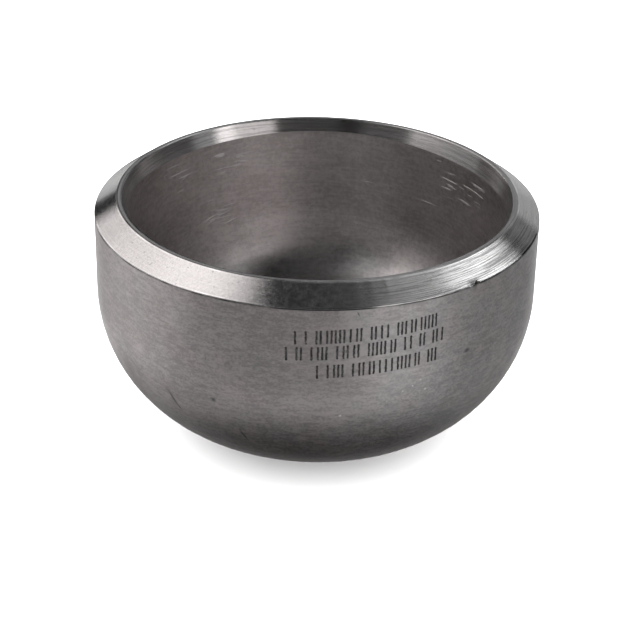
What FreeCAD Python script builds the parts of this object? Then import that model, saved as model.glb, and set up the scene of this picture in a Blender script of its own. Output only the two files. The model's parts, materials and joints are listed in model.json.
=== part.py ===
"""Butt-weld pipe cap, NPS 3 (DN 80), schedule 40S, pressed from one piece of stainless plate.

Millimetres. The cap stands on its dome with the open weld end up. The origin is the lowest point
of the dome, on the cap's axis, and +Z runs up that axis, out through the mouth.
"""
import FreeCAD, Part
import math
import os

# ---- driving dimensions -------------------------------------------------------------------------
OUTSIDE_DIAMETER = 88.9       # of the straight flange, the same as an NPS 3 pipe's
CAP_LENGTH = 51.0             # from the dome's lowest point to the weld face
WELD_WALL = 5.49              # schedule 40S wall at the mouth, where the pipe is matched
BODY_WALL = 6.5               # as pressed, in the flange and the dome
ROOT_FACE = 1.0               # width of the flat land around the mouth, where the weld root is laid
BEVEL_ANGLE = 35.0            # degrees from the weld face down to the bevel's outer edge
BORE_TAPER = 1.0 / 3.0        # radius lost per millimetre of depth in the machined band of the mouth
CROWN_RADIUS = 0.95 * OUTSIDE_DIAMETER      # outside of the shallow middle of the dome
KNUCKLE_RADIUS = OUTSIDE_DIAMETER / 3.0     # outside of the turn between the crown and the flange

# ---- sizes that follow --------------------------------------------------------------------------
outer_r = OUTSIDE_DIAMETER / 2.0
mouth_r = outer_r - WELD_WALL
land_r = mouth_r + ROOT_FACE
bore_r = outer_r - BODY_WALL
bevel_depth = (outer_r - land_r) * math.tan(math.radians(BEVEL_ANGLE))
taper_depth = (mouth_r - bore_r) / BORE_TAPER

# The knuckle touches the flange at the tangent plane and the crown where the two radii line up.
knuckle_axis_r = outer_r - KNUCKLE_RADIUS
centre_gap = CROWN_RADIUS - KNUCKLE_RADIUS
centre_drop = math.sqrt(centre_gap ** 2 - knuckle_axis_r ** 2)
tangent_z = CROWN_RADIUS - centre_drop
crown_half_angle = math.asin(knuckle_axis_r / centre_gap)


def point(radius, height):
    """A corner of the half section, in the XZ plane."""
    return FreeCAD.Vector(radius, 0.0, height)


def line(start, end):
    return Part.LineSegment(start, end).toShape()


def arc(centre_radius, centre_height, radius, start_angle, end_angle):
    """An arc of the half section; the angles are measured from straight down, towards the wall."""
    def at(angle):
        return point(centre_radius + radius * math.sin(angle), centre_height - radius * math.cos(angle))
    return Part.Arc(at(start_angle), at((start_angle + end_angle) / 2.0), at(end_angle)).toShape()


def dome_arcs(inset):
    """The crown and knuckle arcs of the surface that lies inset inside the cap's outer surface."""
    crown = arc(0.0, CROWN_RADIUS, CROWN_RADIUS - inset, 0.0, crown_half_angle)
    knuckle = arc(knuckle_axis_r, tangent_z, KNUCKLE_RADIUS - inset, crown_half_angle, math.pi / 2.0)
    return [crown, knuckle]


def half_section():
    """The cap's wall on one side of its axis, as a closed face."""
    apex_outside = point(0.0, 0.0)
    apex_inside = point(0.0, BODY_WALL)
    flange_bottom = point(outer_r, tangent_z)
    bevel_bottom = point(outer_r, CAP_LENGTH - bevel_depth)
    land_outside = point(land_r, CAP_LENGTH)
    land_inside = point(mouth_r, CAP_LENGTH)
    taper_bottom = point(bore_r, CAP_LENGTH - taper_depth)
    bore_bottom = point(bore_r, tangent_z)

    edges = dome_arcs(0.0)
    edges.append(line(flange_bottom, bevel_bottom))
    edges.append(line(bevel_bottom, land_outside))
    edges.append(line(land_outside, land_inside))
    edges.append(line(land_inside, taper_bottom))
    edges.append(line(taper_bottom, bore_bottom))
    edges.extend(dome_arcs(BODY_WALL))
    edges.append(line(apex_inside, apex_outside))
    return Part.Face(Part.Wire(Part.__sortEdges__(edges)))


def pipe_cap():
    """The whole forging: the section turned once around the cap's axis."""
    axis_point = FreeCAD.Vector(0.0, 0.0, 0.0)
    axis_direction = FreeCAD.Vector(0.0, 0.0, 1.0)
    return half_section().revolve(axis_point, axis_direction, 360.0)


def main():
    os.makedirs("parts", exist_ok=True)
    cap = pipe_cap()
    cap.exportStep("parts/pipe_cap.step")
    box = cap.BoundBox
    print("pipe_cap: valid", cap.isValid(), "solids", len(cap.Solids), "volume mm3", round(cap.Volume, 1))
    print("size mm", round(box.XLength, 3), round(box.YLength, 3), round(box.ZLength, 3))
    print("bevel depth mm", round(bevel_depth, 3), "taper depth mm", round(taper_depth, 3))
    print("tangent plane mm", round(tangent_z, 3), "straight flange mm", round(CAP_LENGTH - tangent_z, 3))


main()
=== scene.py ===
"""Looks of a butt-weld pipe cap: a matte pressed stainless bowl with a bright turned mouth.

The cap stands on its dome with the weld end up. Lengths are in metres, except where a comment or a
name that ends in _mm gives millimetres. Azimuths grow from the side that faces the camera (-Y)
towards +X. They are in degrees, except in the arrays that the cap's mesh is made from (radians).
"""
import json
import math

import bpy
import numpy as np
from mathutils import Matrix, Vector


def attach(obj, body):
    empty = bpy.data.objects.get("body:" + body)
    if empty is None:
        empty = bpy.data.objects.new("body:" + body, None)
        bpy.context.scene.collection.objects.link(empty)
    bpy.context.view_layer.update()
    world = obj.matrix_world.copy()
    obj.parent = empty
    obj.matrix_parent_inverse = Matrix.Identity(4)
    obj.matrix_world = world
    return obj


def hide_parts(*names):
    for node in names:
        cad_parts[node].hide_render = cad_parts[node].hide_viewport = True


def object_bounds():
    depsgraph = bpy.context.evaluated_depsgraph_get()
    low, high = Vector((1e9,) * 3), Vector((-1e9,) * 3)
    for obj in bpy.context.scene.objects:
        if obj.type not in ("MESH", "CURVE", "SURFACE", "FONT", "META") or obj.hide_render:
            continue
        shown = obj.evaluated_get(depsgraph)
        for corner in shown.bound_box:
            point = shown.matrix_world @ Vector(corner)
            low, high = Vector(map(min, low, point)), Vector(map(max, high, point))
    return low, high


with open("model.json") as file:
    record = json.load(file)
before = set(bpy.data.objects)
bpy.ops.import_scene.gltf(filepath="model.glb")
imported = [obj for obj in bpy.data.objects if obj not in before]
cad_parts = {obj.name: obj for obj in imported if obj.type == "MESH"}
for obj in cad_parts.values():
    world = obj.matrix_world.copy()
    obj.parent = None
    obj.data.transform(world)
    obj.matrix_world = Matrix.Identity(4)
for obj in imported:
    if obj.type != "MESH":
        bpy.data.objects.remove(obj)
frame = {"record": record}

cad_low, cad_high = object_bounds()

MM = 0.001
MOUNTS = {mount["name"]: mount for mount in frame["record"]["mounts"]}

# ---- sizes read from the frame -------------------------------------------------------------------
OUTER_R = (cad_high.x - cad_low.x) / 2.0
TOP_Z = cad_high.z
BORE_R = MOUNTS["weld_bore"]["dims"]["r_mm"] * MM
FLANGE_LENGTH = MOUNTS["flange_outside"]["dims"]["length_mm"] * MM
FLANGE_MIDDLE_Z = MOUNTS["flange_outside"]["pos_m"][2]
LAND_MIDDLE_R = MOUNTS["weld_face"]["pos_m"][0]
BORE_TOP_Z = MOUNTS["weld_bore"]["pos_m"][2] + MOUNTS["weld_bore"]["dims"]["length_mm"] * MM / 2.0

# ---- sizes of the looks --------------------------------------------------------------------------
LAND_WIDTH = 1.0 * MM         # the flat ring round the mouth
BEVEL_BOTTOM_Z = FLANGE_MIDDLE_Z + FLANGE_LENGTH / 2.0
TANGENT_Z = FLANGE_MIDDLE_Z - FLANGE_LENGTH / 2.0
LAND_R = LAND_MIDDLE_R + LAND_WIDTH / 2.0
MOUTH_R = LAND_MIDDLE_R - LAND_WIDTH / 2.0
BODY_WALL = OUTER_R - BORE_R
BORE_TAPER = (MOUTH_R - BORE_R) / (TOP_Z - BORE_TOP_Z)
CROWN_R = 0.95 * 2.0 * OUTER_R
KNUCKLE_R = 2.0 * OUTER_R / 3.0
KNUCKLE_AXIS_R = OUTER_R - KNUCKLE_R
CROWN_HALF_ANGLE = math.asin(KNUCKLE_AXIS_R / (CROWN_R - KNUCKLE_R))

COLUMNS = 900                 # points round the cap
CROWN_STEPS = 7
KNUCKLE_STEPS = 20
BODY = "root"
OUTSIDE, TURNED, INSIDE = 0, 1, 2     # material slots of the cap's mesh

BEVEL_EDGE_ROUNDING = 0.10 * MM
LAND_OUTER_ROUNDING = 0.13 * MM
LAND_INNER_ROUNDING = 0.12 * MM
BAND_EDGE_ROUNDING = 0.05 * MM

# Unevenness left by pressing and turning.
WALL_WAVE = 0.10 * MM         # of the wall, seen at the bore
SIDE_SWELL = 0.22 * MM        # more wall at the right, and half as much more at the left
WALL_SHIFT = 0.05 * MM        # less wall everywhere
LAND_BURR = 0.035 * MM        # along the land's outer edge, mostly at the front
LAND_TEAR = 0.06 * MM         # one short burr on the same edge
BEVEL_BURR = 0.012 * MM       # along the bevel's outer edge
PRESS_RIPPLE = 0.018 * MM     # of the surfaces that aren't turned

# The knock on the bevel's outer edge: a notch, and a lip beside it.
NICK_AZIMUTH = 42.5
NICK_INWARDS = 0.45 * MM
NICK_UPWARDS = 0.42 * MM
NICK_HALF_SIZE = 0.65 * MM
LIP_AZIMUTH = 40.3
LIP_DROP = 0.28 * MM
LIP_HALF_SIZE = 0.7 * MM

# Millimetres from here to the end of the scratches, and in the materials' nodes.
# Handling marks on the outside: azimuth, height, half width, half length and how far the mark leans
# from the upright towards growing azimuths, in degrees.
SCUFFS = (
    (-38.6, 22.3, 0.6, 3.4, -24.0),
    (-37.2, 20.3, 0.3, 1.2, -30.0),
    (-25.3, 25.7, 0.9, 0.9, 0.0),
    (-18.7, 17.5, 0.4, 2.7, -18.0),
    (40.2, 34.3, 1.2, 0.8, 0.0),
    (10.2, 46.6, 0.25, 0.9, -25.0),
)
# Painted glints on the outside: small near-white spots, as azimuth, height and half size.
BRIGHT_GLINT_SPOTS = (
    (28.1, 28.7, 0.35),
    (6.6, 25.0, 0.4),
    (24.5, 30.0, 0.25),
    (26.5, 31.0, 0.2),
    (22.0, 29.2, 0.2),
    (18.0, 27.5, 0.2),
)
# Groups of fine scratches inside the bowl: azimuth, height and half size.
SCRATCH_GROUPS = (
    (-146.0, 33.0, 6.0),
    (-128.0, 43.0, 7.0),
    (-150.0, 44.0, 7.0),
    (131.0, 42.0, 5.0),
    (124.0, 42.5, 6.0),
    (117.0, 43.5, 5.0),
)
# Single long scratches inside the bowl: azimuth, height, half length and how steeply the scratch
# climbs towards growing azimuths, in degrees.
SCRATCHES = (
    (-142.5, 30.9, 3.8, -17.0),
    (-143.0, 30.0, 2.6, -17.0),
    (-147.0, 31.0, 3.2, -17.0),
    (-149.5, 29.0, 3.0, -14.0),
    (-131.0, 42.3, 1.6, -20.0),
    (140.5, 35.8, 4.4, 2.0),
    (163.5, 37.3, 2.2, 4.0),
    (131.0, 41.75, 1.3, 0.0),
    (137.0, 46.3, 1.2, 0.0),
    (126.0, 42.5, 1.6, 0.0),
    (121.5, 41.8, 1.6, 0.0),
    (119.0, 44.7, 1.4, 0.0),
)
SCRATCH_HALF_WIDTH = 0.2
SCRATCH_REACH = 2.0           # how far off the bore's radius a scratch still shows
MARK_REACH = 4.0              # the same for the marks and pits outside

# The printed marking: rows of dotted bars, as millimetres below the mouth and first and last azimuth.
MARKING_ROWS = ((9.2, -4.6, 30.5), (12.6, -6.7, 33.5), (16.2, 0.7, 31.5))
MARKING_SLOPE = 0.045         # rise of a row along itself
MARKING_SEED = 21
DOT_PITCH = 0.39 * MM
DOTS_IN_BAR = 7
BAR_STEPS = (2, 2, 2, 3, 3, 5)        # distances from bar to bar, in dots; one is drawn each time
DOT_SIZES = (0.215, 0.26)     # smallest and largest half size, in millimetres
DOT_SHIFT = 0.03              # how far a dot strays to the side, in degrees
DOT_SIDES = 8
INK_PROUD = 0.008 * MM
INK_DEPTH = 0.04 * MM         # how far the dots reach into the metal


# ---- small numeric helpers -----------------------------------------------------------------------
def ring_noise(waves, seed, azimuth):
    """A smooth closed curve of height 1 round the cap, made of ripples of 2 to that many waves."""
    draw = np.random.default_rng(seed)
    total = np.zeros_like(azimuth)
    for wave in range(2, waves + 1):
        strength = draw.normal() / math.sqrt(wave)
        total += strength * np.cos(wave * azimuth + draw.uniform(0.0, 2.0 * math.pi))
    return total / (np.abs(total).max() + 1e-9)


def bump(azimuth, centre_degrees, half_width_degrees):
    """A smooth hill of height 1 round the cap, centred at an azimuth."""
    away = np.angle(np.exp(1j * (azimuth - math.radians(centre_degrees))))
    return np.exp(-(away / math.radians(half_width_degrees)) ** 2)


def place(azimuth_degrees, radius, height):
    """A point of the frame from its azimuth, its distance from the axis and its height."""
    angle = math.radians(azimuth_degrees)
    return Vector((radius * math.sin(angle), -radius * math.cos(angle), height))


# ---- the cap's mesh ------------------------------------------------------------------------------
def dome_rows(inset, angles):
    """Rows of the dome surface lying inset inside the outer one, at angles from straight down."""
    rows = []
    tangent_z = CROWN_R - math.sqrt((CROWN_R - KNUCKLE_R) ** 2 - KNUCKLE_AXIS_R ** 2)
    for angle in angles:
        if angle < CROWN_HALF_ANGLE:
            reach = CROWN_R - inset
            rows.append((reach * math.sin(angle), CROWN_R - reach * math.cos(angle)))
        else:
            reach = KNUCKLE_R - inset
            rows.append((KNUCKLE_AXIS_R + reach * math.sin(angle), tangent_z - reach * math.cos(angle)))
    return rows


def dome_angles():
    """Angles from straight down, over the crown without its middle, then over the knuckle."""
    crown = np.linspace(0.0, CROWN_HALF_ANGLE, CROWN_STEPS)[1:-1]
    knuckle = np.linspace(CROWN_HALF_ANGLE, math.pi / 2.0, KNUCKLE_STEPS)
    return list(crown) + list(knuckle)


def rounded_corner(before, corner, after, radius, steps):
    """Points that round a corner of the section; each argument is a (2, COLUMNS) array."""
    to_before = before - corner
    to_after = after - corner
    to_before = to_before / np.linalg.norm(to_before, axis=0)
    to_after = to_after / np.linalg.norm(to_after, axis=0)
    points = []
    for share in np.linspace(0.0, 1.0, steps):
        start = corner + to_before * radius * (1.0 - share)
        end = corner + to_after * radius * share
        points.append(start * (1.0 - share) + end * share)
    return points


def between(start, end, shares):
    """Points on the straight line from start to end."""
    return [start + (end - start) * share for share in shares]


def section_rows():
    """The cap's section at every azimuth, from the apex outside, over the mouth, to the apex inside.

    Returns the rows as (2, COLUMNS) arrays of radius and height, and each row's surface.
    """
    azimuth = np.linspace(0.0, 2.0 * math.pi, COLUMNS, endpoint=False)

    def ring(radius, height):
        return np.array([radius + 0.0 * azimuth, height + 0.0 * azimuth])

    # The pressing leaves the wall a little uneven, so the machined band inside is deeper in places.
    wall_change = WALL_WAVE * ring_noise(waves=5, seed=11, azimuth=azimuth)
    side_swells = bump(azimuth, 100, 45) + 0.5 * bump(azimuth, -100, 45)
    wall_change += SIDE_SWELL * side_swells - WALL_SHIFT
    inner_r = BORE_R - wall_change

    chips = ring_noise(waves=160, seed=5, azimuth=azimuth)
    rough_front = bump(azimuth, 10, 14)
    land_burr = LAND_BURR * chips * (0.10 + rough_front) + LAND_TEAR * bump(azimuth, 18.4, 0.9)
    outer_burr = BEVEL_BURR * ring_noise(waves=70, seed=6, azimuth=azimuth)

    flange_edge = ring(OUTER_R, BEVEL_BOTTOM_Z)
    flange_edge[1] += outer_burr
    land_out = ring(LAND_R, TOP_Z)
    land_out[0] += land_burr
    land_in = ring(MOUTH_R, TOP_Z)
    band_depth = (MOUTH_R - inner_r) / BORE_TAPER
    band_edge = np.array([inner_r, TOP_Z - band_depth])

    rows = []
    surface = []

    def add(points, slot):
        rows.extend(points)
        surface.extend([slot] * len(points))

    add([ring(radius, height) for radius, height in dome_rows(0.0, dome_angles())], OUTSIDE)
    flange_low = ring(OUTER_R, TANGENT_Z)
    add(between(flange_low, flange_edge, [0.15, 0.35, 0.55, 0.75, 0.88, 0.95, 0.98]), OUTSIDE)
    add(rounded_corner(flange_low, flange_edge, land_out, BEVEL_EDGE_ROUNDING, 4), TURNED)
    add(between(flange_edge, land_out, np.linspace(0.05, 0.95, 15)), TURNED)
    add(rounded_corner(flange_edge, land_out, land_in, LAND_OUTER_ROUNDING, 3), TURNED)
    add(between(land_out, land_in, [0.2, 0.5, 0.75]), TURNED)
    add(rounded_corner(land_out, land_in, band_edge, LAND_INNER_ROUNDING, 3), TURNED)
    add(between(land_in, band_edge, np.linspace(0.06, 0.94, 9)), TURNED)
    bore_low = np.array([inner_r, TANGENT_Z + 0.0 * azimuth])
    add(rounded_corner(land_in, band_edge, bore_low, BAND_EDGE_ROUNDING, 2), INSIDE)
    add(between(band_edge, bore_low, [0.03, 0.12, 0.3, 0.5, 0.7, 0.88]), INSIDE)
    # The wall's unevenness dies out on the way to half the bore's radius.
    inside_dome = []
    for radius, height in reversed(dome_rows(BODY_WALL, dome_angles())):
        fade = min(1.0, max(0.0, radius / BORE_R - 0.5) * 2.0)
        inside_dome.append(ring(radius, height) - np.array([wall_change * fade, 0.0 * azimuth]))
    add(inside_dome, INSIDE)
    return azimuth, np.array(rows), surface


def press_ripples(points, surface):
    """Moves pressed surfaces towards the axis, by less than 0.03 mm, in shallow waves."""
    x, y, z = points[..., 0], points[..., 1], points[..., 2]
    wave = np.sin(x / (9.0 * MM) + 1.3) * np.sin(y / (11.0 * MM) + 0.4) * np.sin(z / (8.0 * MM) + 2.0)
    wave += 0.5 * np.sin(x / (4.3 * MM) + y / (5.1 * MM)) * np.sin(z / (4.0 * MM) - y / (6.0 * MM))
    amount = np.array([0.0 if slot == TURNED else PRESS_RIPPLE for slot in surface])
    radial = np.stack([x, y, 0.0 * z], axis=-1)
    radial /= np.linalg.norm(radial, axis=-1, keepdims=True) + 1e-9
    below_mouth = np.clip((BEVEL_BOTTOM_Z - 1.0 * MM - z) / (3.0 * MM), 0.0, 1.0)
    points -= radial * (np.abs(wave) * amount[:, None] * below_mouth)[..., None]


def dent(points, centre, push, half_size):
    """Pushes the metal round a point by a vector, fading out over half_size."""
    away = np.linalg.norm((points - np.array(centre)) / half_size, axis=-1)
    points += np.array(push) * np.exp(-away[..., None] ** 2)


def nick_the_edge(points):
    """A knock on the bevel's outer edge: a small notch with the metal pushed down on one side."""
    notch = place(NICK_AZIMUTH, OUTER_R, BEVEL_BOTTOM_Z)
    inwards = -Vector((notch.x, notch.y, 0.0)).normalized()
    dent(points, notch, inwards * NICK_INWARDS + Vector((0.0, 0.0, NICK_UPWARDS)), NICK_HALF_SIZE)
    lip = place(LIP_AZIMUTH, OUTER_R, BEVEL_BOTTOM_Z)
    dent(points, lip, Vector((0.0, 0.0, -LIP_DROP)), LIP_HALF_SIZE)


def cap_mesh():
    """The cap as one closed mesh: a grid of rows and columns, with a fan at each apex."""
    azimuth, rows, surface = section_rows()
    radius, height = rows[:, 0, :], rows[:, 1, :]
    points = np.stack([radius * np.sin(azimuth), -radius * np.cos(azimuth), height], axis=-1)
    press_ripples(points, surface)
    nick_the_edge(points)

    row_count = len(surface)
    vertices = [tuple(p) for p in points.reshape(-1, 3)]
    apex_outside = len(vertices)
    vertices.append((0.0, 0.0, 0.0))
    vertices.append((0.0, 0.0, BODY_WALL))
    faces = []
    slots = []
    for row in range(row_count - 1):
        for column in range(COLUMNS):
            follow = (column + 1) % COLUMNS
            low = row * COLUMNS
            high = low + COLUMNS
            faces.append((low + column, low + follow, high + follow, high + column))
            slots.append(surface[row])
    last = (row_count - 1) * COLUMNS
    for column in range(COLUMNS):
        follow = (column + 1) % COLUMNS
        faces.append((apex_outside, follow, column))
        slots.append(OUTSIDE)
        faces.append((apex_outside + 1, last + column, last + follow))
        slots.append(INSIDE)

    mesh = bpy.data.meshes.new("pipe_cap_finished")
    mesh.from_pydata(vertices, [], faces)
    mesh.polygons.foreach_set("material_index", slots)
    mesh.polygons.foreach_set("use_smooth", [True] * len(faces))
    mesh.update()
    return mesh


# ---- node helpers --------------------------------------------------------------------------------
MIX_AMOUNT, MIX_FIRST, MIX_SECOND = 0, 6, 7     # input sockets of a node that mixes colours
MIX_RESULT = 2                # its output socket


class Nodes:
    """Builds a material's nodes: each method adds one node and returns its output socket."""

    def __init__(self, name):
        self.material = bpy.data.materials.new(name)
        self.material.use_nodes = True
        self.tree = self.material.node_tree
        self.tree.nodes.clear()

    def add(self, kind, inputs=None, output=0, **settings):
        node = self.tree.nodes.new(kind)
        for key, value in settings.items():
            setattr(node, key, value)
        for key, value in (inputs or {}).items():
            if isinstance(value, bpy.types.NodeSocket):
                self.tree.links.new(value, node.inputs[key])
            else:
                node.inputs[key].default_value = value
        return node.outputs[output]

    def math(self, operation, first, second=0.0, third=0.0):
        return self.add("ShaderNodeMath", {0: first, 1: second, 2: third}, operation=operation)

    def position_mm(self):
        place_in_metres = self.add("ShaderNodeTexCoord", output="Object")
        inputs = {0: place_in_metres, "Scale": 1.0 / MM}
        return self.add("ShaderNodeVectorMath", inputs, operation="SCALE")

    def stretched(self, vector, x, y, z):
        return self.add("ShaderNodeVectorMath", {0: vector, 1: (x, y, z)}, operation="MULTIPLY")

    def noise(self, vector, scale, detail=3.0, roughness=0.55):
        inputs = {"Vector": vector, "Scale": scale, "Detail": detail, "Roughness": roughness}
        return self.add("ShaderNodeTexNoise", inputs, output="Fac")

    def remap(self, value, low, high, new_low=0.0, new_high=1.0):
        """A smooth step from new_low at low to new_high at high."""
        inputs = {"Value": value, "From Min": low, "From Max": high,
                  "To Min": new_low, "To Max": new_high}
        return self.add("ShaderNodeMapRange", inputs, clamp=True, interpolation_type="SMOOTHSTEP")

    def mix(self, amount, first, second):
        """The first colour where amount is 0, and the second where it is 1."""
        inputs = {MIX_AMOUNT: amount, MIX_FIRST: first, MIX_SECOND: second}
        return self.add("ShaderNodeMix", inputs, output=MIX_RESULT, data_type="RGBA")

    def spot(self, vector, centre, half_sizes_mm, turn=(0.0, 0.0, 0.0)):
        """1 at a point, falling to 0 at the edge of an ellipsoid round it; the centre is in metres."""
        centre_mm = [length / MM for length in centre]
        inputs = {"Vector": vector, "Location": centre_mm, "Rotation": turn, "Scale": half_sizes_mm}
        local = self.add("ShaderNodeMapping", inputs, vector_type="TEXTURE")
        away = self.add("ShaderNodeVectorMath", {0: local}, output="Value", operation="LENGTH")
        return self.remap(away, 0.0, 1.0, 1.0, 0.0)

    def bump(self, height, strength, distance_mm, normal=None):
        inputs = {"Height": height, "Strength": strength, "Distance": distance_mm * MM}
        if normal is not None:
            inputs["Normal"] = normal
        return self.add("ShaderNodeBump", inputs)

    def finish(self, inputs):
        """Adds the shader and the output, and returns the material."""
        shader = self.add("ShaderNodeBsdfPrincipled", inputs, output="BSDF")
        out = self.tree.nodes.new("ShaderNodeOutputMaterial")
        self.tree.links.new(shader, out.inputs["Surface"])
        return self.material


def grey(value, warmth=0.0):
    """A grey colour; warmth above 0 turns it towards red."""
    return (value * (1.0 + warmth), value, value, 1.0)


# ---- materials -----------------------------------------------------------------------------------
def blend(n, parts):
    """The weighted sum of several noises, each given with its weight."""
    total = 0.0
    for value, weight in parts:
        total = n.math("MULTIPLY_ADD", value, weight, total)
    return total


def outside_radius(height):
    """The cap's outside radius at a height above its foot, down to the crown."""
    below = max(0.0, TANGENT_Z - height)
    return KNUCKLE_AXIS_R + math.sqrt(KNUCKLE_R ** 2 - below ** 2)


def mark(n, place_mm, azimuth, height_mm, half_width_mm, half_length_mm, lean=0.0):
    """A soft mark on the outside, 1 at its centre; it leans from the upright by some degrees."""
    turn = (0.0, math.radians(lean), math.radians(azimuth))
    centre = place(azimuth, outside_radius(height_mm * MM), height_mm * MM)
    return n.spot(place_mm, centre, (half_width_mm, MARK_REACH, half_length_mm), turn)


def round_spot(n, place_mm, azimuth, radius, height, half_size_mm):
    """1 at a point of the cap, falling to 0 at half_size_mm from it."""
    return n.spot(place_mm, place(azimuth, radius, height), (half_size_mm,) * 3)


def skin_colour(n, place_mm, tone, dark, pale, warmths):
    """Pickled skin: a tone from dark to pale, drifting between two warmths of grey."""
    drift = n.remap(n.noise(place_mm, 0.16, 2.0), 0.40, 0.60)
    first, second = (n.mix(tone, grey(dark, warmth), grey(pale, warmth)) for warmth in warmths)
    return n.mix(drift, first, second)


def pressed_outside():
    """Pickled and blasted skin: matte warm grey, cloudy, faintly streaked round the cap."""
    n = Nodes("pressed_outside")
    place_mm = n.position_mm()
    cloud = n.noise(place_mm, 0.07, 3.0)
    streak = n.noise(n.stretched(place_mm, 0.4, 0.4, 1.5), 1.0, 3.0)
    grain = n.noise(n.stretched(place_mm, 1.8, 1.8, 2.8), 1.0, 3.0, 0.7)
    tone = blend(n, ((cloud, 0.22), (streak, 0.30), (grain, 0.48)))
    colour = skin_colour(n, place_mm, n.remap(tone, 0.40, 0.60), 0.285, 0.45, (0.105, 0.07))
    for azimuth, height, half_width, half_length, lean in SCUFFS:
        scuff = mark(n, place_mm, azimuth, height, half_width, half_length, lean)
        colour = n.mix(n.math("MULTIPLY", scuff, 0.9), colour, grey(0.12))
    # Painted glints: small spots of near-white colour on the matte skin.
    for azimuth, height, half_size in BRIGHT_GLINT_SPOTS:
        glint_spot = mark(n, place_mm, azimuth, height, half_size, half_size)
        colour = n.mix(glint_spot, colour, grey(0.75))
    # Painted shade: a dark line just under the bevel's outer edge.
    colour = n.mix(painted_edge_shade(n, place_mm), colour, grey(0.06))
    roughness = n.remap(grain, 0.3, 0.7, 0.40, 0.50)
    normal = n.bump(grain, 0.35, 0.05)
    normal = n.bump(streak, 0.25, 0.04, normal)
    return n.finish({"Base Color": colour, "Metallic": 1.0, "Roughness": roughness, "Normal": normal})


def painted_edge_shade(n, place_mm):
    """Painted shade: a dark broken line just under the bevel's outer edge, heavier at the front and the
    right.
    """
    height = n.add("ShaderNodeSeparateXYZ", {0: place_mm}, output="Z")
    edge = BEVEL_BOTTOM_Z / MM
    near = n.remap(height, edge - 0.50, edge - 0.30)
    broken = n.remap(n.noise(place_mm, 0.25, 2.0), 0.35, 0.60, 0.35, 0.95)
    heavy_right = round_spot(n, place_mm, 68.0, OUTER_R, BEVEL_BOTTOM_Z, 10.0)
    heavy_front = round_spot(n, place_mm, 2.0, OUTER_R, BEVEL_BOTTOM_Z, 13.0)
    heavy = n.math("MAXIMUM", heavy_right, heavy_front)
    return n.math("MULTIPLY", near, n.math("MAXIMUM", broken, n.remap(heavy, 0.0, 0.3)))


def round_the_wall(n, place_mm, x, z):
    """Coordinates that run round the bore, times x, and up it, times z; their seam is at the front."""
    parts = n.add("ShaderNodeSeparateXYZ", {0: place_mm}).node.outputs
    azimuth = n.math("ARCTAN2", parts["X"], parts["Y"])
    round_mm = n.math("MULTIPLY", azimuth, x * BORE_R / MM)
    return n.add("ShaderNodeCombineXYZ", {"X": round_mm, "Y": n.math("MULTIPLY", parts["Z"], z)})


def scratch_marks(n, place_mm):
    """Fine scratches in groups, which run round the wall, and a few long single ones."""
    hairs = n.noise(round_the_wall(n, place_mm, 0.2, 1.9), 1.0, 0.0)
    groups = 0.0
    for azimuth, height, half_size in SCRATCH_GROUPS:
        group = round_spot(n, place_mm, azimuth, BORE_R, height * MM, half_size)
        groups = n.math("MAXIMUM", groups, group)
    scratches = n.math("MULTIPLY", n.remap(hairs, 0.64, 0.72), n.remap(groups, 0.1, 0.7))
    for azimuth, height, half_length, climb in SCRATCHES:
        turn = (0.0, math.radians(-climb), math.radians(azimuth))
        half_sizes = (half_length, SCRATCH_REACH, SCRATCH_HALF_WIDTH)
        single = n.spot(place_mm, place(azimuth, BORE_R, height * MM), half_sizes, turn)
        scratches = n.math("MAXIMUM", scratches, single)
    return scratches


def pressed_inside():
    """The inside skin: darker and smoother, with hairline brush marks running round the wall."""
    n = Nodes("pressed_inside")
    place_mm = n.position_mm()
    cloud = n.noise(place_mm, 0.09, 3.0)
    tilt = (math.radians(-4.0), 0.0, 0.0)
    tilted = n.add("ShaderNodeMapping", {"Vector": place_mm, "Rotation": tilt})
    brush = n.noise(n.stretched(tilted, 0.28, 0.28, 1.5), 1.0, 4.0, 0.7)
    grain = n.noise(place_mm, 1.1, 4.0, 0.7)
    tone = blend(n, ((cloud, 0.25), (brush, 0.35), (grain, 0.40)))
    colour = skin_colour(n, place_mm, n.remap(tone, 0.40, 0.60), 0.52, 0.70, (0.045, 0.03))
    scratches = scratch_marks(n, place_mm)
    colour = n.mix(scratches, colour, grey(0.98))
    height = n.add("ShaderNodeSeparateXYZ", {0: place_mm}, output="Z")
    smooth_bottom = n.remap(height, 16.0, 34.0, 0.26, 0.33)
    roughness = n.math("MULTIPLY_ADD", brush, 0.07, smooth_bottom)
    roughness = n.math("MULTIPLY_ADD", scratches, 0.2, roughness)
    normal = n.bump(grain, 0.2, 0.04)
    normal = n.bump(brush, 0.3, 0.03, normal)
    normal = n.bump(scratches, 0.8, 0.07, normal)
    return n.finish({"Base Color": colour, "Metallic": 1.0, "Roughness": roughness, "Normal": normal})


def along_grooves(n, place_mm):
    """Coordinates whose Z runs across the turned grooves, and the distance from the axis."""
    level = n.stretched(place_mm, 1.0, 1.0, 0.0)
    radius = n.add("ShaderNodeVectorMath", {0: level}, output="Value", operation="LENGTH")
    height = n.add("ShaderNodeSeparateXYZ", {0: place_mm}, output="Z")
    across = n.add("ShaderNodeCombineXYZ", {"Z": n.math("SUBTRACT", radius, height)})
    return n.add("ShaderNodeVectorMath", {0: level, 1: across}, operation="ADD"), radius


def ring_line(n, radius, centre, half_width):
    """1 on a thin ring round the mouth, fading to 0 half_width away from it, in millimetres."""
    away = n.math("ABSOLUTE", n.math("SUBTRACT", radius, centre))
    return n.remap(away, half_width * 0.4, half_width, 1.0, 0.0)


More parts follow.
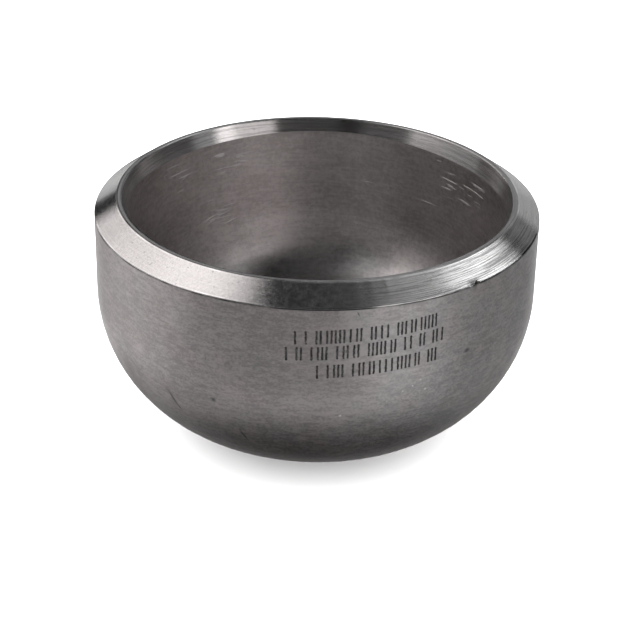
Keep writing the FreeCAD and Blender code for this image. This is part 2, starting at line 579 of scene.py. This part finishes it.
def grooved_colour(n, place_mm, groove, radius):
    """Turned metal's colour: coarse lines at the right and in the band, with painted sheen on their
    ridges and painted shade in their grooves, smudges at the front, pits.
    """
    grain = n.noise(place_mm, 2.2, 3.0, 0.6)
    colour = n.mix(n.remap(grain, 0.3, 0.7), grey(0.60, 0.01), grey(0.70, 0.01))

    smudged_front = round_spot(n, place_mm, -3.0, OUTER_R, TOP_Z, 12.5)
    smudges = n.remap(n.noise(place_mm, 0.8, 5.0, 0.75), 0.38, 0.62)
    smudge_tone = n.mix(smudges, grey(0.38), grey(0.98))
    colour = n.mix(n.math("MULTIPLY", smudged_front, 0.9), colour, smudge_tone)

    coarse_side = round_spot(n, place_mm, 46.0, OUTER_R, TOP_Z, 36.0)
    coarse_band = n.remap(radius, MOUTH_R / MM, LAND_R / MM, 0.28, 0.07)
    coarseness = n.math("MAXIMUM", coarse_side, coarse_band)
    # Painted sheen on the ridges of the coarse turning lines, then painted shade in their grooves.
    ridges = n.math("MULTIPLY", n.remap(groove, 0.44, 0.52), coarseness)
    colour = n.mix(ridges, colour, grey(0.88))
    lines = n.math("MULTIPLY", n.remap(groove, 0.42, 0.53, 1.0, 0.0), coarseness)
    colour = n.mix(n.math("MULTIPLY", lines, 0.9), colour, grey(0.26))

    pits = n.remap(n.noise(place_mm, 1.3, 2.0), 0.67, 0.74, 0.0, 0.7)
    return n.mix(pits, colour, grey(0.33))


def with_edge_lines(n, place_mm, radius, colour):
    """Adds painted highlights and painted shade to a colour: thin bright and dark rings along the edges
    of the bevel and the land.
    """
    broken = n.noise(place_mm, 0.14, 2.0)
    bevel_edge = OUTER_R / MM
    land_edge = LAND_R / MM
    mouth_edge = MOUTH_R / MM

    # Painted highlights: bright rings where the bevel's edges catch the light, and a painted glint
    # patch on the land at the front.
    bright_rings = n.math("MAXIMUM", ring_line(n, radius, bevel_edge - 0.12, 0.22),
                          ring_line(n, radius, land_edge + 0.12, 0.22))
    bright_front = round_spot(n, place_mm, 15.0, LAND_R, TOP_Z, 7.0)
    bright_amount = n.math("MAXIMUM", n.remap(broken, 0.43, 0.62, 0.15, 0.85), bright_front)
    colour = n.mix(n.math("MULTIPLY", bright_rings, bright_amount), colour, grey(0.98))

    # Painted shade: a dark ring along the bevel's outer edge, at the front and the right.
    dark_ring = ring_line(n, radius, bevel_edge - 0.05, 0.22)
    dark_front = round_spot(n, place_mm, 4.0, OUTER_R, BEVEL_BOTTOM_Z, 11.0)
    dark_right = round_spot(n, place_mm, 69.0, OUTER_R, BEVEL_BOTTOM_Z, 7.0)
    dark_amount = n.math("MAXIMUM", n.remap(dark_front, 0.0, 0.3, 0.0, 0.3),
                         n.remap(dark_right, 0.0, 0.3))
    colour = n.mix(n.math("MULTIPLY", dark_ring, dark_amount), colour, grey(0.05))

    # Painted shade: dark lines along both edges of the land, mostly on the left side.
    land_edge_shade = n.math("MAXIMUM", ring_line(n, radius, land_edge - 0.12, 0.20),
                    ring_line(n, radius, mouth_edge + 0.10, 0.22))
    shaded_land_side = round_spot(n, place_mm, -60.0, OUTER_R, TOP_Z, 70.0)
    land_shade_amount = n.math("MULTIPLY", n.remap(broken, 0.60, 0.40, 0.6, 1.0), shaded_land_side)
    return n.mix(n.math("MULTIPLY", land_edge_shade, land_shade_amount), colour, grey(0.08))


def turned_metal():
    """Lathe-turned stainless: bright, with fine grooves running round the mouth."""
    n = Nodes("turned_metal")
    place_mm = n.position_mm()
    along, radius = along_grooves(n, place_mm)
    groove = n.noise(n.stretched(along, 0.06, 0.06, 3.6), 1.0, 4.0, 0.7)
    chatter = n.noise(n.stretched(along, 0.5, 0.5, 3.2), 1.0, 3.0, 0.6)
    colour = grooved_colour(n, place_mm, groove, radius)
    colour = with_edge_lines(n, place_mm, radius, colour)
    normal = n.bump(groove, 0.5, 0.03)
    normal = n.bump(chatter, 0.3, 0.02, normal)
    tangent = n.add("ShaderNodeTangent", output="Tangent", direction_type="RADIAL", axis="Z")
    return n.finish({
        "Base Color": colour, "Metallic": 1.0, "Roughness": 0.24, "Anisotropic": 0.97,
        "Anisotropic Rotation": 0.25, "Normal": normal, "Tangent": tangent})


def marking_ink():
    """Black ink from a dot printer, thin in places."""
    n = Nodes("marking_ink")
    worn = n.noise(n.position_mm(), 1.4, 2.0)
    colour = n.mix(n.remap(worn, 0.35, 0.75), grey(0.004), grey(0.02, 0.05))
    roughness = n.remap(worn, 0.3, 0.7, 0.45, 0.65)
    return n.finish({"Base Color": colour, "Roughness": roughness, "Specular IOR Level": 0.15})


def floor_paper():
    """White paper, matte and almost even in tone."""
    n = Nodes("floor_paper")
    grain = n.noise(n.position_mm(), 0.02, 2.0)
    colour = n.mix(grain, grey(0.985 * PAPER_WHITE), grey(PAPER_WHITE))
    return n.finish({"Base Color": colour, "Roughness": 0.9, "Specular IOR Level": 0.2})


# ---- pieces --------------------------------------------------------------------------------------
def make_cap():
    """The cap's piece: the finished mesh with its three surfaces."""
    mesh = cap_mesh()
    for material in (pressed_outside(), turned_metal(), pressed_inside()):
        mesh.materials.append(material)
    cap = bpy.data.objects.new("pipe_cap_finished", mesh)
    bpy.context.scene.collection.objects.link(cap)
    normals = cap.modifiers.new("even_normals", "WEIGHTED_NORMAL")
    normals.keep_sharp = True
    normals.weight = 80
    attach(cap, BODY)
    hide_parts("pipe_cap")


def add_dot(vertices, faces, azimuth_degrees, height, half_size):
    """A round spot of ink, a few microns proud of the cap's outside."""
    first = len(vertices)
    for radius in (OUTER_R + INK_PROUD, OUTER_R - INK_DEPTH):
        for side in range(DOT_SIDES):
            angle = 2.0 * math.pi * side / DOT_SIDES
            across = math.degrees(half_size * math.cos(angle) / OUTER_R)
            point = place(azimuth_degrees + across, radius, height + half_size * math.sin(angle))
            vertices.append(tuple(point))
    top = [first + side for side in range(DOT_SIDES)]
    foot = [first + DOT_SIDES + side for side in range(DOT_SIDES)]
    faces.append(tuple(top))
    faces.append(tuple(reversed(foot)))
    for side in range(DOT_SIDES):
        follow = (side + 1) % DOT_SIDES
        faces.append((top[side], foot[side], foot[follow], top[follow]))


def make_marking():
    """Rows of dotted upright bars, all of one height, in place of the printed marking."""
    draw = np.random.default_rng(MARKING_SEED)
    vertices = []
    faces = []
    for below_mouth, first, last in MARKING_ROWS:
        azimuth = first
        while azimuth < last:
            climb = MARKING_SLOPE * math.radians(azimuth - first) * OUTER_R
            for step in range(DOTS_IN_BAR):
                rise = (step - (DOTS_IN_BAR - 1) / 2.0) * DOT_PITCH
                height = TOP_Z - below_mouth * MM + rise + climb
                dot_size = draw.uniform(*DOT_SIZES) * MM
                add_dot(vertices, faces, azimuth + draw.normal() * DOT_SHIFT, height, dot_size)
            azimuth += math.degrees(draw.choice(BAR_STEPS) * DOT_PITCH / OUTER_R)
    mesh = bpy.data.meshes.new("ink_marking")
    mesh.from_pydata(vertices, [], faces)
    mesh.materials.append(marking_ink())
    marking = bpy.data.objects.new("ink_marking", mesh)
    bpy.context.scene.collection.objects.link(marking)
    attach(marking, BODY)


# ---- stage and light -----------------------------------------------------------------------------
FLOOR_SIZE = 4.0
PAPER_WHITE = 0.82
CARD_DISTANCE = 3.0
LIGHTS_CENTRE = Vector((0.0, 0.0, 0.035))       # the point that the cards face
WHITE = (1.0, 1.0, 1.0)
WARM = (1.06, 1.0, 0.99)
COOL = (0.95, 1.0, 1.0)
WORLD_STRENGTH = 4.0

# A graded light is a stack of lamps, each a little behind the one before it and reaching further.
# Lamps that overlap in one plane would hide one another in the metal instead of adding up.
GRADE_LAYERS = 6
LAYER_STEP = 0.02             # from lamp to lamp, as a share of the distance


def make_floor():
    """A level square sheet under the cap, which the metal doesn't mirror."""
    half = FLOOR_SIZE / 2.0
    corners = [(-half, -half, 0.0), (half, -half, 0.0), (half, half, 0.0), (-half, half, 0.0)]
    mesh = bpy.data.meshes.new("floor")
    mesh.from_pydata(corners, [], [(0, 1, 2, 3)])
    mesh.materials.append(floor_paper())
    floor = bpy.data.objects.new("floor", mesh)
    bpy.context.scene.collection.objects.link(floor)
    floor.visible_glossy = False
    floor.visible_shadow = False


def lamp(name, centre, facing, width, height, radiance, colour):
    """An unseen rectangular light at centre that shines evenly over its face, towards facing."""
    light = bpy.data.lights.new(name, "AREA")
    light.color = colour
    light.shape = "RECTANGLE"
    light.size = width
    light.size_y = height
    light.energy = radiance * math.pi * width * height
    holder = bpy.data.objects.new(name, light)
    holder.location = centre
    holder.rotation_mode = "QUATERNION"
    holder.rotation_quaternion = facing.to_track_quat("-Z", "Y")
    holder.visible_camera = False
    holder.visible_diffuse = False
    bpy.context.scene.collection.objects.link(holder)


def panel(name, azimuth, distance, along, heights, radiance, colour=WHITE):
    """An upright softbox on an azimuth; its ends lie along it, towards growing azimuths."""
    foot = place(azimuth, distance, 0.0)
    sideways = place(azimuth + 90.0, 1.0, 0.0)
    centre = foot + sideways * (along[0] + along[1]) / 2.0
    centre.z = (heights[0] + heights[1]) / 2.0
    width = along[1] - along[0]
    height = heights[1] - heights[0]
    lamp(name, centre, -foot.normalized(), width, height, radiance, colour)


def graded_panel(name, azimuth, along, heights, radiance, fades):
    """Panels one behind the other, so that the first end and the top dim over the two fades."""
    for layer in range(GRADE_LAYERS):
        share = layer / (GRADE_LAYERS - 1)
        distance = 1.0 + LAYER_STEP * layer
        extent = (along[0] + fades[0] * share, along[1])
        upright = (heights[0], heights[1] + fades[1] * share)
        panel(f"{name}_{layer}", azimuth, distance, extent, upright, radiance / GRADE_LAYERS)


def card(name, azimuths, elevations, radiance, colour=WHITE, distance=CARD_DISTANCE):
    """A distant card that faces the cap and fills a window of directions, given in degrees."""
    azimuth = sum(azimuths) / 2.0
    elevation = math.radians(sum(elevations) / 2.0)
    half_width = math.radians(azimuths[1] - azimuths[0]) / 2.0
    half_height = math.radians(elevations[1] - elevations[0]) / 2.0
    out = place(azimuth, math.cos(elevation), math.sin(elevation))
    width = 2.0 * distance * math.tan(half_width) * math.cos(elevation)
    height = 2.0 * distance * math.tan(half_height)
    lamp(name, LIGHTS_CENTRE + out * distance, -out, width, height, radiance, colour)


def graded_card(name, azimuths, elevations, radiance, fade):
    """Cards one behind the other, each reaching further up, so that the top dims over fade degrees."""
    for layer in range(GRADE_LAYERS):
        top = elevations[1] + fade * layer / (GRADE_LAYERS - 1)
        distance = CARD_DISTANCE * (1.0 + LAYER_STEP * layer)
        window = (elevations[0], top)
        card(f"{name}_{layer}", azimuths, window, radiance / GRADE_LAYERS, distance=distance)


def make_lights():
    """Upright softboxes a metre off, and cards further away for the rest of what the metal mirrors.

    A panel has its azimuth, its distance, its two ends and its two heights. A card has the azimuths
    and the elevations that it spans. The radiance comes after them.
    """
    panel("softbox_left", -90, 1.0, (-1.38, 0.55), (0.42, 3.6), 1.17, WARM)
    panel("softbox_left_low", -90, 1.0, (-1.38, -0.9), (0.22, 0.42), 1.35, WARM)
    panel("softbox_left_hot", -90, 1.02, (-0.6, 0.3), (0.95, 2.4), 0.15, WARM)
    panel("softbox_right_front", 46, 1.0, (-0.34, 0.34), (-0.05, 0.55), 1.08, WARM)
    panel("softbox_right_front_hot", 58, 1.05, (-0.08, 0.14), (-0.05, 0.58), 0.65, WARM)
    panel("softbox_right_front_dim", 75, 1.0, (-0.17, 0.14), (-0.05, 0.5), 0.14)
    graded_panel("softbox_right", 90, (-0.1, 0.88), (0.70, 1.35), 1.9, (0.45, 0.35))
    graded_panel("softbox_right_top", 90, (-0.9, 0.8), (1.7, 2.7), 0.24, (0.8, 2.8))
    panel("softbox_right_tail", 90, 1.0, (0.88, 1.6), (0.3, 0.85), 0.2)
    card("left_low", (-110, -55), (-8, 14), 0.3)
    card("horizon_left", (-167, -153), (-12, 4), 0.9)
    card("horizon_right", (143, 166), (-6, 14), 0.46)
    card("horizon_right_low", (158, 174), (-26, -6), 0.75)
    card("horizon_rear", (174, 192), (-26, -8), 0.12)
    card("rear", (150, 210), (16, 50), 0.27)
    card("rear_top_left", (-180, -100), (50, 70), 0.15)
    graded_card("rear_top_right", (95, 175), (50, 61), 0.5, 18)
    card("front_left", (-62, -28), (30, 54), 0.42)
    card("front_right", (52, 82), (12, 41), 0.40)
    card("front", (-15, 25), (5, 60), 0.052)
    card("zenith", (-60, 60), (66, 90), 0.06)
    card("bounce_rear", (150, 210), (-37, -26), 2.0)
    card("bounce_left_rear", (-150, -125), (-37, -14), 0.7)
    card("bounce_left", (-125, -68), (-37, -14), 1.2)
    card("bounce_front", (-68, 30), (-37, -14), 0.42)
    card("bounce_right_front", (30, 62), (-37, -14), 1.55, COOL)
    card("bounce_right", (62, 150), (-37, -14), 0.36, COOL)
    card("under_left", (-120, -40), (-60, -37), 0.55)
    card("under_front", (-40, 40), (-60, -37), 0.78)
    card("under_right", (40, 120), (-60, -37), 0.46, COOL)
    card("under_rear", (120, 240), (-60, -37), 0.3)


def make_world():
    """A white world, which the camera, the paper and the ink see and the metal doesn't."""
    world = bpy.data.worlds.new("studio")
    bpy.context.scene.world = world
    world.use_nodes = True
    background = world.node_tree.nodes["Background"].inputs
    background["Color"].default_value = (*WHITE, 1.0)
    background["Strength"].default_value = WORLD_STRENGTH
    world.cycles_visibility.glossy = False


# ---- camera --------------------------------------------------------------------------------------
CAMERA_DISTANCE = 0.3897      # from CAMERA_PIVOT
CAMERA_ELEVATION = 26.84      # degrees
CAMERA_ROLL = 1.2             # degrees, about its own axis
CAMERA_LENS = 107.1           # millimetres, like the sensor's width
SENSOR_WIDTH = 36.0
NEAR_CLIP = 0.01
CAMERA_PIVOT = Vector((0.0, 0.0, 0.031))
AIM_POINT = Vector((0.00103, 0.0, 0.0220))


def make_camera():
    """The camera, in front of the cap and above its mouth, looking at AIM_POINT."""
    elevation = math.radians(CAMERA_ELEVATION)
    back = Vector((0.0, -math.cos(elevation), math.sin(elevation)))
    data = bpy.data.cameras.new("camera")
    data.lens = CAMERA_LENS
    data.sensor_width = SENSOR_WIDTH
    data.clip_start = NEAR_CLIP
    camera = bpy.data.objects.new("camera", data)
    location = CAMERA_PIVOT + back * CAMERA_DISTANCE
    turn = (AIM_POINT - location).to_track_quat("-Z", "Y").to_matrix().to_4x4()
    roll = Matrix.Rotation(math.radians(CAMERA_ROLL), 4, "Z")
    camera.matrix_world = Matrix.Translation(location) @ turn @ roll
    bpy.context.scene.collection.objects.link(camera)
    bpy.context.scene.camera = camera


make_cap()
make_marking()
make_floor()
make_lights()
make_world()
make_camera()
bpy.context.scene.view_settings.view_transform = "Standard"
